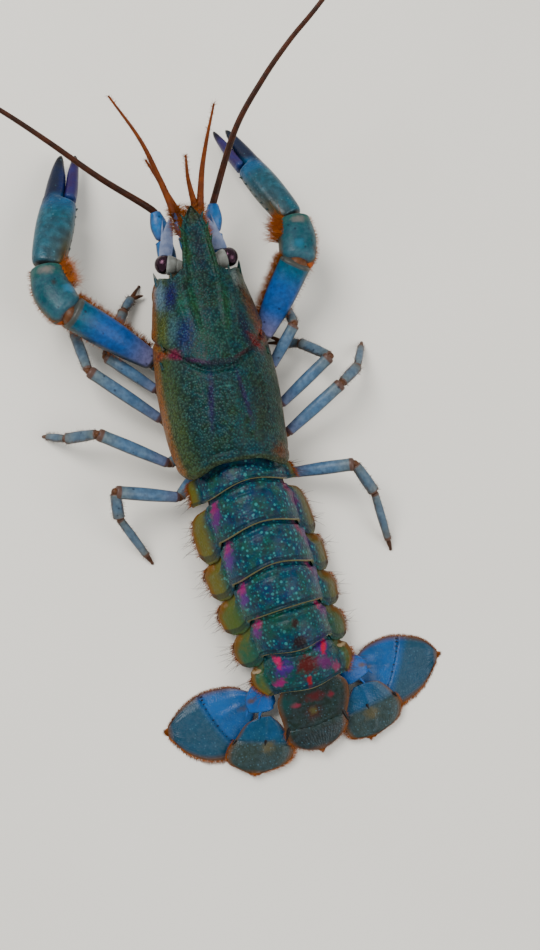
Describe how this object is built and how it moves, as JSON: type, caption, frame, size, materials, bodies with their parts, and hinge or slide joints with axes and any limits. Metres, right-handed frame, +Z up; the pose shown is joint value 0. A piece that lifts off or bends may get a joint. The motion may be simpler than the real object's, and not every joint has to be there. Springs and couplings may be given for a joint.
{
  "type": "redclaw crayfish model",
  "caption": "Still, life-size model of an adult redclaw crayfish with slim claws held forward, legs spread on the floor and tail fan open.",
  "frame": {"origin": "on the floor, under the middle of the bounding box, feelers included", "axes": "+Z up, +Y towards the head along the carapace's midline, +X towards the animal's right side"},
  "size_m": [0.1814, 0.2238, 0.0693],
  "materials": {
    "shell_teal": "satin, granular",
    "limb_blue": "satin",
    "limb_slate": "satin",
    "claw_teal": "satin",
    "claw_violet": "satin",
    "fan_blue": "satin",
    "feeler_brown": "satin",
    "scale_pale": "satin",
    "stalk_grey": "satin",
    "cornea_black": "gloss",
    "belly_pale": "matt"
  },
  "bodies": {
    "root": {"carapace": "shell_teal", "thorax": "belly_pale", "head": "belly_pale", "eyestalk_left": "stalk_grey", "eyestalk_right": "stalk_grey", "eye_left": "cornea_black", "eye_right": "cornea_black", "antenna_base_left": "limb_blue", "antenna_base_right": "limb_blue", "antenna_scale_left": "scale_pale", "antenna_scale_right": "scale_pale", "antenna_left": "feeler_brown", "antenna_right": "feeler_brown", "antennule_left": "feeler_brown", "antennule_right": "feeler_brown", "maxilliped_left": "limb_slate", "maxilliped_right": "limb_slate", "abdomen_1": "shell_teal", "abdomen_2": "shell_teal", "abdomen_3": "shell_teal", "abdomen_4": "shell_teal", "abdomen_5": "shell_teal", "abdomen_6": "shell_teal", "telson": "shell_teal", "uropod_base_left": "limb_slate", "uropod_base_right": "limb_slate", "endopod_left": "fan_blue", "endopod_right": "fan_blue", "exopod_left": "fan_blue", "exopod_right": "fan_blue", "cheliped_merus_left": "limb_blue", "cheliped_merus_right": "limb_blue", "cheliped_carpus_left": "claw_teal", "cheliped_carpus_right": "claw_teal", "cheliped_hand_left": "claw_teal", "cheliped_hand_right": "claw_teal", "cheliped_finger_left": "claw_violet", "cheliped_finger_right": "claw_violet", "leg_2_upper_left": "limb_blue", "leg_2_upper_right": "limb_blue", "leg_3_upper_left": "limb_blue", "leg_3_upper_right": "limb_blue", "leg_4_upper_left": "limb_blue", "leg_4_upper_right": "limb_blue", "leg_5_upper_left": "limb_blue", "leg_5_upper_right": "limb_blue", "leg_2_lower_left": "limb_slate", "leg_2_lower_right": "limb_slate", "leg_3_lower_left": "limb_slate", "leg_3_lower_right": "limb_slate", "leg_4_lower_left": "limb_slate", "leg_4_lower_right": "limb_slate", "leg_5_lower_left": "limb_slate", "leg_5_lower_right": "limb_slate"}
  },
  "joints": []
}
